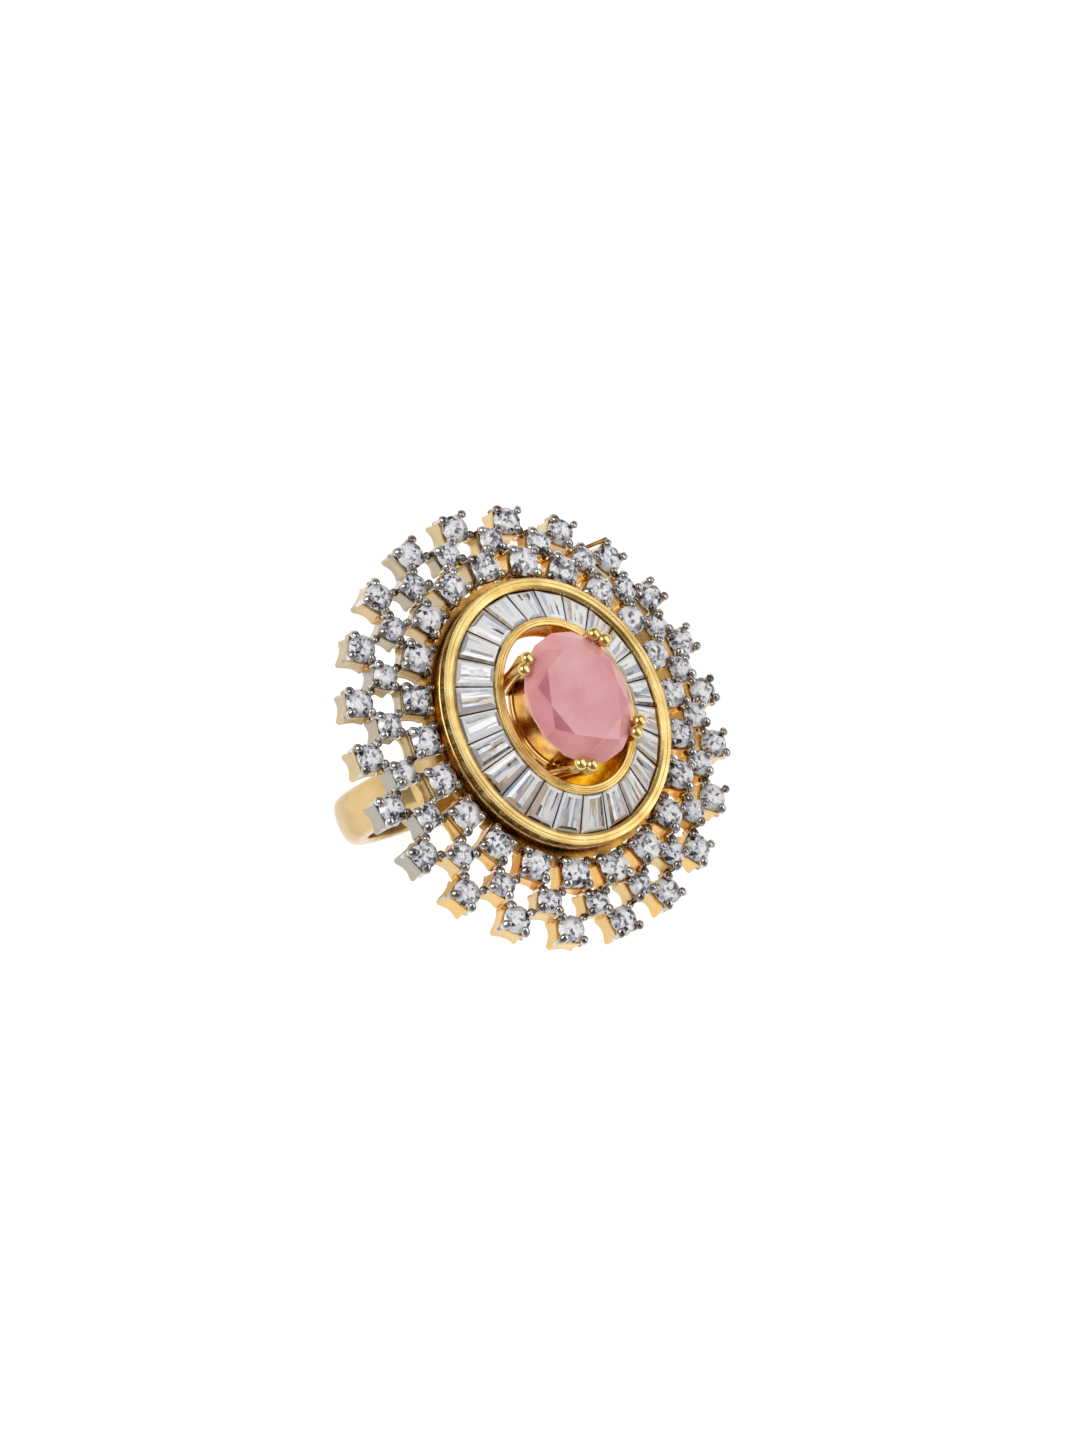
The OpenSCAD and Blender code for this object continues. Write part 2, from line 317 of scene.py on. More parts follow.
def noise(nodes, links, vector, scale, detail=3.0, rough=0.5):
    n = nodes.new("ShaderNodeTexNoise")
    n.inputs["Scale"].default_value = scale
    n.inputs["Detail"].default_value = detail
    n.inputs["Roughness"].default_value = rough
    links.new(vector, n.inputs["Vector"])
    return n.outputs["Fac"]


def ramp(nodes, links, value, stops):
    r = nodes.new("ShaderNodeValToRGB")
    while len(r.color_ramp.elements) < len(stops):
        r.color_ramp.elements.new(0.5)
    for e, (at, colour) in zip(r.color_ramp.elements, stops):
        e.position = at
        e.color = (*colour, 1)
    links.new(value, r.inputs["Fac"])
    return r.outputs["Color"]


def spread(nodes, links, value, low, high, from_low=0.3, from_high=0.7):
    r = nodes.new("ShaderNodeMapRange")
    r.inputs["From Min"].default_value = from_low
    r.inputs["From Max"].default_value = from_high
    r.inputs["To Min"].default_value = low
    r.inputs["To Max"].default_value = high
    links.new(value, r.inputs["Value"])
    return r.outputs["Result"]


def bump(nodes, links, height, bsdf, strength, distance):
    b = nodes.new("ShaderNodeBump")
    b.inputs["Strength"].default_value = strength
    b.inputs["Distance"].default_value = distance
    links.new(height, b.inputs["Height"])
    links.new(b.outputs["Normal"], bsdf.inputs["Normal"])


def metal(name, dark, light, rough, patch, strength=0.25):
    """Cast and polished metal: tone drifts in patches, and fine scratches break the gloss."""
    m, nodes, links, bsdf = new_material(name)
    at = coords(nodes)
    bsdf.inputs["Metallic"].default_value = 1.0
    tone = noise(nodes, links, at, patch, 4.0)
    links.new(ramp(nodes, links, tone, [(0.35, dark), (0.65, light)]), bsdf.inputs["Base Color"])
    fine = noise(nodes, links, at, SCRATCHES, 5.0, 0.65)
    links.new(spread(nodes, links, fine, rough[0], rough[1]), bsdf.inputs["Roughness"])
    bump(nodes, links, fine, bsdf, strength, 0.00003)
    return m


def milled_metal(name, dark, light, rough, long, short, lines):
    """Flat-turned metal: fine lines run along the oval whose half axes are long and short."""
    m, nodes, links, bsdf = new_material(name)
    at = coords(nodes)
    flat = nodes.new("ShaderNodeVectorMath")
    flat.operation = "MULTIPLY"
    flat.inputs[1].default_value = (1 / (short * MM), 1 / (long * MM), 0)
    links.new(at, flat.inputs[0])
    size = nodes.new("ShaderNodeVectorMath")
    size.operation = "LENGTH"
    links.new(flat.outputs["Vector"], size.inputs[0])
    line = nodes.new("ShaderNodeTexNoise")
    line.noise_dimensions = "1D"
    line.inputs["Scale"].default_value = lines
    line.inputs["Detail"].default_value = 4.0
    line.inputs["Roughness"].default_value = 0.7
    links.new(size.outputs["Value"], line.inputs["W"])
    patch = noise(nodes, links, at, 500, 3.0)
    mix = nodes.new("ShaderNodeMath")
    mix.operation = "MULTIPLY_ADD"
    mix.inputs[1].default_value = 0.55
    links.new(patch, mix.inputs[0])
    half = nodes.new("ShaderNodeMath")
    half.operation = "MULTIPLY"
    half.inputs[1].default_value = 0.45
    links.new(line.outputs["Fac"], half.inputs[0])
    links.new(half.outputs["Value"], mix.inputs[2])
    bsdf.inputs["Metallic"].default_value = 1.0
    links.new(
        ramp(nodes, links, mix.outputs["Value"], [(0.35, dark), (0.62, light)]), bsdf.inputs["Base Color"]
    )
    links.new(spread(nodes, links, line.outputs["Fac"], rough[0], rough[1]), bsdf.inputs["Roughness"])
    bump(nodes, links, line.outputs["Fac"], bsdf, 0.3, 0.00004)
    return m


def milky_material(name, stops, rough, ior, cloud):
    """Cut milky stone: each facet has its own shade value, clouded a little so that none is flat."""
    m, nodes, links, bsdf = new_material(name)
    at = coords(nodes)
    cloudy = noise(nodes, links, at, cloud, 3.0)
    add = nodes.new("ShaderNodeMath")
    add.operation = "MULTIPLY_ADD"
    add.inputs[1].default_value = 0.5
    links.new(cloudy, add.inputs[0])
    links.new(shade_value(nodes), add.inputs[2])
    shifted = nodes.new("ShaderNodeMath")
    shifted.operation = "SUBTRACT"
    shifted.inputs[1].default_value = 0.25
    links.new(add.outputs["Value"], shifted.inputs[0])
    links.new(ramp(nodes, links, shifted.outputs["Value"], stops), bsdf.inputs["Base Color"])
    bsdf.inputs["IOR"].default_value = ior
    fine = noise(nodes, links, at, POLISH, 2.0)
    links.new(spread(nodes, links, fine, rough[0], rough[1]), bsdf.inputs["Roughness"])
    return m, bsdf


def gem_material(name, stops, rough, cell, mix):
    """A brilliant seen from above, in painted reflections: facet tones broken up by small cells, each a
    random painted reflection.
    """
    m, nodes, links, bsdf = new_material(name)
    at = coords(nodes)
    cells = nodes.new("ShaderNodeTexVoronoi")
    cells.inputs["Scale"].default_value = 1 / (cell * MM)
    links.new(at, cells.inputs["Vector"])
    blend = nodes.new("ShaderNodeMix")
    blend.inputs["Factor"].default_value = mix
    links.new(shade_value(nodes), blend.inputs["A"])
    links.new(cells.outputs["Color"], blend.inputs["B"])
    links.new(ramp(nodes, links, blend.outputs["Result"], stops), bsdf.inputs["Base Color"])
    bsdf.inputs["IOR"].default_value = 1.9
    fine = noise(nodes, links, at, POLISH, 2.0)
    links.new(spread(nodes, links, fine, rough[0], rough[1]), bsdf.inputs["Roughness"])
    bump(nodes, links, cells.outputs["Distance"], bsdf, 0.25, 0.00006)
    return m


def plated_metal(name, stops, rough):
    """Collet walls: the face's shade value runs from rhodium grey to gold, clouded in patches."""
    m, nodes, links, bsdf = new_material(name)
    at = coords(nodes)
    blend = nodes.new("ShaderNodeMix")
    blend.inputs["Factor"].default_value = 0.42
    links.new(shade_value(nodes), blend.inputs["A"])
    links.new(noise(nodes, links, at, 700, 4.0), blend.inputs["B"])
    links.new(ramp(nodes, links, blend.outputs["Result"], stops), bsdf.inputs["Base Color"])
    bsdf.inputs["Metallic"].default_value = 1.0
    fine = noise(nodes, links, at, SCRATCHES, 5.0, 0.65)
    links.new(spread(nodes, links, fine, rough[0], rough[1]), bsdf.inputs["Roughness"])
    bump(nodes, links, fine, bsdf, 0.2, 0.00003)
    return m


gold = metal("yellow_gold", (0.8, 0.53, 0.18), (0.9, 0.66, 0.28), (0.14, 0.28), patch=300)
band_gold = metal("band_gold", (0.46, 0.31, 0.115), (0.69, 0.5, 0.235), (0.14, 0.28), patch=260)
deep_gold = metal("deep_gold", (0.6, 0.24, 0.02), (0.92, 0.5, 0.08), (0.14, 0.3), patch=700)
cup_gold = metal("cup_gold", (0.55, 0.2, 0.002), (0.98, 0.52, 0.02), (0.16, 0.34), patch=700)
# Gold darkened to brown for painted shade: the outer channel wall, the halo links and the stray wire use it.
painted_shade_gold = metal("painted_shade_gold", (0.2, 0.09, 0.02), (0.62, 0.32, 0.07), (0.16, 0.34), patch=700)
rhodium = metal("rhodium", (0.17, 0.13, 0.1), (0.78, 0.76, 0.75), (0.06, 0.18), patch=1300, strength=0.15)
plated = plated_metal(
    "plated_walls",
    [
        (0.15, (0.36, 0.37, 0.4)),
        (0.33, (0.44, 0.38, 0.28)),
        (0.52, (0.66, 0.49, 0.24)),
        (0.7, (0.8, 0.5, 0.16)),
        (0.86, (0.8, 0.34, 0.03)),
    ],
    (0.16, 0.36),
)
# Dark to white tones for the clear brilliants: painted reflections and glints.
painted_brilliant_reflections = gem_material(
    "clear_brilliant",
    [
        (0.24, (0.02, 0.02, 0.022)),
        (0.33, (0.27, 0.25, 0.29)),
        (0.42, (0.6, 0.62, 0.74)),
        (0.5, (0.9, 0.88, 0.9)),
        (0.6, (1.0, 1.0, 1.0)),
    ],
    (0.04, 0.14),
    cell=0.24,
    mix=0.5,
)
# Dark, tan, grey-blue and white tones for the clear baguettes: painted reflections.
painted_baguette_reflections = gem_material(
    "clear_baguette",
    [
        (0.12, (0.1, 0.08, 0.07)),
        (0.27, (0.74, 0.56, 0.4)),
        (0.42, (0.4, 0.44, 0.54)),
        (0.6, (0.72, 0.73, 0.77)),
        (0.78, (1.0, 1.0, 1.0)),
    ],
    (0.04, 0.12),
    cell=0.5,
    mix=0.16,
)
rose, rose_bsdf = milky_material(
    "rose_stone",
    [
        (0.15, (0.4, 0.1, 0.15)),
        (0.42, (0.6, 0.19, 0.23)),
        (0.62, (0.82, 0.34, 0.35)),
        (0.9, (0.97, 0.55, 0.54)),
    ],
    (0.08, 0.16),
    ior=1.55,
    cloud=420,
)
rose_bsdf.inputs["Subsurface Weight"].default_value = 0.35
rose_bsdf.inputs["Subsurface Radius"].default_value = (1.0, 0.4, 0.35)
rose_bsdf.inputs["Subsurface Scale"].default_value = 0.0008


# ---- Shank and gallery ------------------------------------------------------


def shank():
    """A band with a low crown, small rims in the bore and wide soft edges outside."""
    low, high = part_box("shank")
    outer = (high.x - low.x) / 2 / MM
    half_w = (high.y - low.y) / 2 / MM
    centre = outer - SHANK_CROWN_R
    edge = centre + SHANK_CROWN_R * math.cos(math.asin(half_w / SHANK_CROWN_R))
    turn = math.asin((half_w - FILLET) / SHANK_CROWN_R)
    right_side = [(BORE_R + 0.08 * RIM, half_w - 0.5 * RIM), (BORE_R + 0.3 * RIM, half_w - 0.2 * RIM)]
    right_side.append((BORE_R + RIM, half_w))
    start, corner = Vector((edge - FILLET, half_w)), Vector((edge, half_w))
    end = Vector((centre + SHANK_CROWN_R * math.cos(turn), half_w - FILLET))
    for t in np.linspace(0, 0.88, 7):
        right_side.append(tuple(start.lerp(corner, t).lerp(corner.lerp(end, t), t)))
    profile = [(BORE_R, y) for y in np.linspace(RIM - half_w, half_w - RIM, 5)] + right_side
    for a in np.linspace(turn, -turn, 19):
        profile.append((centre + SHANK_CROWN_R * math.cos(a), SHANK_CROWN_R * math.sin(a)))
    profile += [(r, -y) for r, y in reversed(right_side)]
    steps = 180
    rings = [
        [Vector((r * math.cos(TAU * i / steps), y, r * math.sin(TAU * i / steps))) for i in range(steps)]
        for r, y in profile
    ]
    shape = Shape()
    shape.add(*skin(rings, closed=True))
    piece("band", shape, [band_gold], "yellow_gold", "shank", smooth=50)


def shoulder(side, node):
    """A waisted bracket: its outline is drawn in the XZ plane, and it thins towards the waist."""
    low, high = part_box(node)
    top = high.z / MM
    half_w = high.y / MM
    outer = max(abs(low.x), abs(high.x)) / MM
    waist_x, waist_z = WAIST_CENTRE
    waist = [
        (waist_x - math.sqrt(WAIST_R**2 - (z - waist_z) ** 2), z) for z in np.linspace(top, WAIST_FOOT, 22)
    ]
    saddle = [(SADDLE_R * math.cos(a), SADDLE_R * math.sin(a)) for a in np.linspace(0.7, 1.105, 8)]
    arch_x, arch_z = ARCH_CENTRE
    arch = [(arch_x + math.sqrt(ARCH_R**2 - (z - arch_z) ** 2), z) for z in np.linspace(ARCH_FOOT, top, 14)]
    outline = [(min(x, outer), z) for x, z in waist] + saddle + arch
    layers = []
    middle = sum((Vector((x, 0, z)) for x, z in outline), Vector()) / len(outline)
    for turn in np.linspace(-90, 90, 9):
        y = math.sin(math.radians(turn))
        inset = BRACKET_ROUND * (1 - math.cos(math.radians(turn)))
        depth = (half_w - BRACKET_ROUND) * (1 if turn > 0 else -1 if turn < 0 else 0) + BRACKET_ROUND * y
        ring = []
        for x, z in outline:
            p = Vector((x, 0, z))
            pull = (middle - p).normalized() * inset
            along = min(max((z - THINNING_FROM) / (top - THINNING_FROM), 0), 1)
            thin = 1 - WAIST_THINNING * math.sin(math.pi * along)
            lift = 0 if z > top - 0.01 else pull.z
            ring.append(Vector((side * (x + pull.x), depth * thin, z + lift)))
        layers.append(ring)
    shape = Shape()
    shape.add(*skin(layers))
    piece(node + "_bracket", shape, [band_gold], "yellow_gold", node, smooth=40)


def gallery():
    """The oval base ring, and the turned posts that carry the channel."""
    long, short, low, high = half_axes("gallery_base")
    w = GALLERY_W
    profile = [(-w + 0.15, low), (-0.15, low), (0, low + 0.15), (0, high - 0.3), (-0.12, high - 0.1)]
    profile += [(-0.3, high), (-w + 0.15, high), (-w, high - 0.15), (-w, low + 0.15)]
    shape = Shape()
    shape.add(*oval_sweep(long, short, profile))
    piece("gallery_ring", shape, [gold], "yellow_gold", "gallery_base")

    posts = Shape()
    for box_low, box_high in solids("gallery_posts"):
        x, y = (box_low[0] + box_high[0]) / 2, (box_low[1] + box_high[1]) / 2
        h = box_high[2] - box_low[2]
        r = (box_high[0] - box_low[0]) / 2
        turned = [(0.95, 0), (0.95, 0.08), (0.62, 0.2), (0.55, 0.38), (0.8, 0.46), (0.8, 0.54)]
        turned += [(0.55, 0.62), (0.62, 0.8), (0.95, 0.92), (0.95, 1)]
        profile = [(r * a, box_low[2] + h * b) for a, b in turned]
        posts.add(*lathe(profile), place=Matrix.Translation((x, y, 0)))
    piece("gallery_balusters", posts, [deep_gold], "yellow_gold", "gallery_posts")


# ---- Channel ----------------------------------------------------------------


def wall(name, node, w, material, rim=0.08):
    """An upright oval wall w thick with cut rims."""
    long, short, low, high = half_axes(node)
    profile = [(-w + rim, low), (-rim, low), (0, low + rim), (0, high - rim), (-rim, high)]
    profile += [(-w + rim, high), (-w, high - rim), (-w, low + rim)]
    shape = Shape()
    shape.add(*oval_sweep(long, short, profile))
    piece(name, shape, [material], "yellow_gold", node)


def channel():
    """Both rails with their turned grooves, the step line, the walls and the kept CAD floors."""
    long, short, low, top = half_axes("outer_rail")
    dark, light = (0.6, 0.38, 0.1), (0.98, 0.76, 0.34)
    milled = milled_metal("milled_gold", dark, light, (0.16, 0.36), long, short, lines=150)
    profile = [(-0.04, low), (0, low + 0.04), (0, top - 0.1), (-0.04, top - 0.02), (-0.1, top)]
    profile += [(-0.3, top), (-0.33, top - 0.03), (-0.36, top), (-0.6, top), (-0.8, top - 0.1)]
    profile += [(-0.85, top - 0.2), (-0.85, low + 0.04), (-0.81, low)]
    shape = Shape()
    shape.add(*oval_sweep(long, short, profile))
    piece("channel_rail_outer", shape, [milled], "yellow_gold", "outer_rail", smooth=25)

    long, short, low, top = half_axes("inner_rail")
    profile = [(-0.04, low), (0, low + 0.04), (0, top - 0.14), (-0.03, top - 0.07), (-0.07, top - 0.02)]
    profile += [(-0.12, top), (-0.17, top), (-0.2, top - 0.05), (-0.23, top), (-0.33, top)]
    profile += [(-0.36, top - 0.05), (-0.39, top), (-0.56, top), (-0.62, top - 0.03), (-0.65, top - 0.09)]
    profile += [(-0.65, low + 0.04), (-0.61, low)]
    shape = Shape()
    shape.add(*oval_sweep(long, short, profile))
    piece("channel_rail_inner", shape, [milled], "yellow_gold", "inner_rail", smooth=25)

    long, short, low, high = half_axes("outer_step")
    mid, r = (low + high) / 2, (high - low) / 2
    profile = [(-0.25, low + 0.02), (-0.25, high - 0.02)]
    profile += [
        (0.12 * math.cos(a) - 0.12, mid + r * math.sin(a)) for a in np.linspace(math.pi / 2, -math.pi / 2, 7)
    ]
    shape = Shape()
    shape.add(*oval_sweep(long, short, profile))
    piece("channel_step", shape, [gold], "yellow_gold", "outer_step", smooth=40)

    # The outer channel wall gets the brown, darkened gold: painted shade.
    wall("channel_wall_outer", "outer_skirt", SKIRT_W, painted_shade_gold)
    wall("channel_wall_inner", "inner_skirt", INNER_SKIRT_W, deep_gold)
    keep("channel_seat", deep_gold)
    keep("well_floor", cup_gold)


def ray(k, count):
    """The angle of ray k of count round the oval, drawn together towards the long ends."""
    even = 90 - 360 * k / count
    return math.radians(even - RAY_WARP * math.sin(2 * math.radians(even)))


def baguette_tone(warm):
    """A facet's painted reflection tone: mostly white and grey, with tan and dark ones where warm is near 1.
    """
    tones = (0.97, 0.86, 0.72, 0.62, 0.42, 0.24, 0.08)
    weights = (5, 3, 2, 2, 3, 1 + 6 * warm, 1.4)
    return chance.choices(tones, weights)[0] + chance.uniform(-0.04, 0.04)


def baguettes():
    """Tapered step-cut stones side by side, each table cut into strips of different painted reflection tone.
    """
    rail_long, rail_short, _, rail_top = half_axes("outer_rail")
    in_long, in_short, _, in_top = half_axes("inner_rail")
    out_long, out_short = rail_long - RAIL_W - BAG_GAP, rail_short - RAIL_W - BAG_GAP
    in_long, in_short = in_long + BAG_GAP, in_short + BAG_GAP
    rise = in_top - rail_top

    def corner(across, angle, depth):
        return oval_point(
            out_long + across * (in_long - out_long),
            out_short + across * (in_short - out_short),
            angle,
            rail_top - BAG_DROP + across * rise - depth,
        )

    def outline(i, margin, depth):
        a = ray(i + 0.97 - 0.94 * margin, BAGUETTES)
        b = ray(i + 0.03 + 0.94 * margin, BAGUETTES)
        near, far = margin / 2, 1 - margin / 2
        return [corner(across, turn, depth) for across, turn in ((near, a), (near, b), (far, b), (far, a))]

    shape = Shape()
    steps = [(0.3, BAG_DEPTH), (0.2, 0.85), (0.1, 0.6), (0, BAG_GIRDLE + 0.06), (0, BAG_GIRDLE)]
    steps += [(0.1, 0.1), (0.24, 0)]
    for i in range(BAGUETTES):
        verts, faces = skin([outline(i, *s) for s in steps])
        faces.pop()
        # warm is 1 towards -Y, where more of the painted reflection tones are dark tan.
        warm = 0.5 - 0.5 * math.sin(ray(i + 0.5, BAGUETTES))
        shades = [baguette_tone(warm) for _ in faces]
        shape.add(verts, faces, shades=shades)
        near_a, near_b, far_b, far_a = outline(i, *steps[-1])
        cuts = [0] + [0.2 * j + chance.uniform(-0.07, 0.07) for j in (1, 2, 3, 4)] + [1]
        for low, high in zip(cuts, cuts[1:]):
            break_low, break_high = chance.uniform(0.1, 0.9), chance.uniform(0.1, 0.9)
            slat = [
                near_a.lerp(near_b, t).lerp(far_a.lerp(far_b, t), v)
                for t, v in ((low, 0), (high, 0), (high, break_high), (high, 1), (low, 1), (low, break_low))
            ]
            tones = [baguette_tone(warm), baguette_tone(warm)]
            shape.add(slat, [[0, 1, 2, 5], [5, 2, 3, 4]], shades=tones)
    names = [f"baguette_{i + 1:02d}" for i in range(BAGUETTES)]
    piece("channel_baguettes", shape, [painted_baguette_reflections], "clear_stone", *names, smooth=0)


# ---- Cut stones -------------------------------------------------------------


TABLE_PART, STAR_PART, CROWN_PART, GIRDLE_PART, PAVILION_PART = range(5)


def brilliant(r, crown_h, pavilion_h, table=0.56, girdle=0.04, lower=0.22, stretch=1.0):
    """A brilliant with its girdle at the origin: vertices, faces, and the part each face belongs to."""
    n = 8
    step = TAU / n
    verts, faces, parts = [], [], []

    def put(radius, angle, z):
        verts.append(Vector((radius * math.cos(angle), stretch * radius * math.sin(angle), z)))
        return len(verts) - 1

    def kite_z(u, top_z, edge_z, inner_u):
        return top_z + (u - inner_u) * (edge_z - top_z) / (r - inner_u)

    rt = table * r
    rm = 0.5 * (rt + r)
    rl = lower * r
    half = step / 2
    table_ring = [put(rt, i * step, crown_h) for i in range(n)]
    mid = [put(rm, (i + 0.5) * step, kite_z(rm * math.cos(half), crown_h, girdle, rt)) for i in range(n)]
    top = [put(r, i * half, girdle) for i in range(2 * n)]
    bottom = [put(r, i * half, -girdle) for i in range(2 * n)]
    low_z = kite_z(rl * math.cos(half), -pavilion_h, -girdle, 0)
    low = [put(rl, (i + 0.5) * step, low_z) for i in range(n)]
    culet = put(0, 0, -pavilion_h)

    eye = put(0, 0, crown_h)
    star = [put(0.5 * rt, (i + 0.5) * step, crown_h) for i in range(n)]
    for i in range(n):
        j = (i + 1) % n
        faces += [[eye, star[i - 1], table_ring[i], star[i]], [star[i], table_ring[i], table_ring[j]]]
        parts += [TABLE_PART] * 2
    for i in range(n):
        j = (i + 1) % n
        g, h, k = 2 * i, 2 * i + 1, (2 * i + 2) % (2 * n)
        crown = [[table_ring[i], mid[i], table_ring[j]], [table_ring[i], mid[i - 1], top[g], mid[i]]]
        crown += [[mid[i], top[g], top[h]], [mid[i], top[h], top[k]]]
        under = [[culet, low[i - 1], bottom[g], low[i]]]
        under += [[low[i], bottom[g], bottom[h]], [low[i], bottom[h], bottom[k]]]
        edge = [[top[g], bottom[g], bottom[h], top[h]], [top[h], bottom[h], bottom[k], top[k]]]
        faces += crown + edge + under
        parts += [STAR_PART] + [CROWN_PART] * 3 + [GIRDLE_PART] * 2 + [PAVILION_PART] * 3
    return verts, faces, parts


TABLE_TONE = 0.72


def centre_stone():
    """The oval rose stone: facets on its shaded side are darker, and darkest beside the table."""
    long, short, low, high = half_axes("centre_stone")
    depth = CENTRE_PAVILION + GIRDLE_HALF
    girdle_z = low + depth
    verts, faces, parts = brilliant(
        short, high - girdle_z, depth, CENTRE_TABLE, GIRDLE_HALF, 0.2, long / short
    )
    shades = []
    for f, part in zip(faces, parts):
        middle = sum((verts[v] for v in f), Vector()) / len(f)
        facing = max(-middle.normalized().dot(SHADED_SIDE), 0)
        # Painted shade and light: on the side facing away from SHADED_SIDE, facets are darkened, star facets
        # most, and girdle facets are lightened as a painted highlight.
        drop = {TABLE_PART: 0, STAR_PART: 0.3, GIRDLE_PART: -0.2}.get(part, 0.12)
        spread_by = 0 if part == TABLE_PART else chance.uniform(-0.03, 0.03)
        shades.append(TABLE_TONE + spread_by - facing * drop)
    shape = Shape()
    shape.add(verts, faces, Matrix.Translation((0, 0, girdle_z)), shades=shades)
    piece("centre_oval", shape, [rose], "rose_stone", "centre_stone", smooth=0)
    return long, short, girdle_z


# ---- Centre basket and claws ------------------------------------------------


def basket(long, short, girdle_z):
    """The cup round the stone, its base ring, and four claws of two beaded wires each."""
    _, _, low, high = half_axes("basket_wall")

    def cup_ring(t, inset):
        out = -CUP_INSET - CUP_TAPER * (1 - t) - CUP_SAG * math.sin(math.pi * t) - inset
        z = low + t * (high - low)
        return [oval_point(long + out, short + out, TAU * i / 128, z) for i in range(128)]

    rings = [cup_ring(t, 0) for t in np.linspace(0, 1, 7)]
    rings += [cup_ring(t, CUP_W) for t in np.linspace(1, 0, 4)]
    shape = Shape()
    shape.add(*skin(rings, closed=True))
    piece("basket_cup", shape, [cup_gold], "yellow_gold", "basket_wall", smooth=40)
    wall("basket_ring", "basket_band", BAND_W, gold, 0.14)

    base = half_axes("basket_band")[2]
    for number, angle in enumerate(CLAW_ANGLES, 1):
        a = math.radians(angle)
        tangent = Vector((-math.sin(a), math.cos(a), 0))
        claw = Shape()
        for side in (-1, 1):
            shift = tangent * CENTRE_CLAW_SPREAD * side
            foot = oval_point(long - 0.25, short - 0.25, a, base) + shift
            knee = oval_point(long + 0.42, short + 0.42, a, girdle_z - 0.1) + shift
            tip = oval_point(long + 0.3, short + 0.3, a, girdle_z + 0.45) + shift
            points = [foot.lerp(knee, t) for t in (0, 0.3, 0.6, 0.85, 1)] + [tip]
            claw.add(*tube(points, CENTRE_CLAW_RADII))
            out, z = CENTRE_BEAD_OUT, girdle_z + CENTRE_BEAD_RISE
            bead = oval_point(long + out, short + out, a, z) + shift
            claw.add(*ball(bead, CENTRE_BEAD_R - 0.03 * chance.random(), 0.85, 20))
        piece(f"centre_prongs_{number}", claw, [gold], "yellow_gold", f"centre_claw_{number}", smooth=60)


# ---- Halo -------------------------------------------------------------------


def fit_oval(points):
    """Half axes along Y and X of the oval through points."""
    squares = np.array([(x * x, y * y) for x, y in points])
    a, b = np.linalg.lstsq(squares, np.ones(len(points)), rcond=None)[0]
    return 1 / math.sqrt(b), 1 / math.sqrt(a)


def collet(side):
    """A square box with waisted walls, round corners and an arch under each wall, and points per wall."""
    half = side / 2
    bottom = COLLET_TOP - COLLET_H
    round_r = CORNER * half
    flat = half - round_r
    quarter = [(half, u * flat) for u in (-1, -0.75, -0.5, -0.25, 0, 0.25, 0.5, 0.75, 1)]
    corner = [math.radians(a) for a in (22.5, 45, 67.5)]
    quarter += [(flat + round_r * math.cos(a), flat + round_r * math.sin(a)) for a in corner]

    def ring(shrink, t):
        points = []
        for turn in range(4):
            spin = Matrix.Rotation(turn * math.pi / 2, 3, "Z")
            for x, y in quarter:
                arch = ARCH_RISE * max(1 - (y / (half - ARCH_LEG)) ** 2, 0) if x == half else 0
                z = bottom + arch + t * (COLLET_H - arch)
                height = (z - bottom) / COLLET_H
                size = (half - shrink) / half
                size *= 1 - WAIST * math.sin(math.pi * height) + FLARE * (1 - height) ** 3
                points.append(spin @ Vector((x * size, y * size, z)))
        return points

    rings = [ring(0.05, 0), ring(0, 0.05)] + [ring(0, t) for t in (0.2, 0.4, 0.65, 0.94)]
    rings += [ring(0.07, 1), ring(COLLET_WALL - 0.06, 1)]
    rings += [ring(COLLET_WALL, t) for t in (0.93, 0.5, 0)]
    return skin(rings, closed=True), len(quarter)


def halo_claw(reach_x, reach_y):
    """A wire up the collet's corner that leans in and ends in a ball."""
    foot, r = HALO_CLAW_FOOT, HALO_BEAD_R
    top = HALO_BEAD_Z + 0.05 * chance.random()
    pull = chance.uniform(0.1, 0.2)

    def axis(z):
        t = max((z - foot) / (top - foot), 0)
        k = 1 - pull * t**3
        return reach_x * k, reach_y * k

    profile = [(0.1, foot), (0.15, foot + 0.12), (0.15, -0.6), (0.16, -0.2), (0.18, top - 0.3)]
    profile += [
        (r * math.sin(a), top - r * math.cos(a)) for a in np.linspace(0.2 * math.pi, 0.97 * math.pi, 8)
    ]
    return lathe(profile, 12, axis)


def plating(row, bearing, turn):
    """How golden a collet wall is, 0 to 1, by its row, its bearing in degrees and which wall it is."""
    if row != "inner" and GREY_FROM < bearing < GREY_TO:
        return 0.05
    if row == "outer" and turn == 0 and GREY_FOOT_FROM < bearing < GREY_FOOT_TO:
        return 0.15
    tone = GILDING[row]
    if PALE_FROM < bearing < GREY_FROM:
        tone -= 0.18 if row == "outer" else 0.3
    return tone + (0.16 if bearing > WARM_FROM else 0)


def near_loose_wire(row, x, y, long, short, count):
    """Whether the stone at x, y is the one that the stray wire leads to."""
    angle = math.degrees(math.atan2(y / long, x / short))
    return row == "outer" and abs(angle - LOOSE_WIRE_AT) < 180 / count


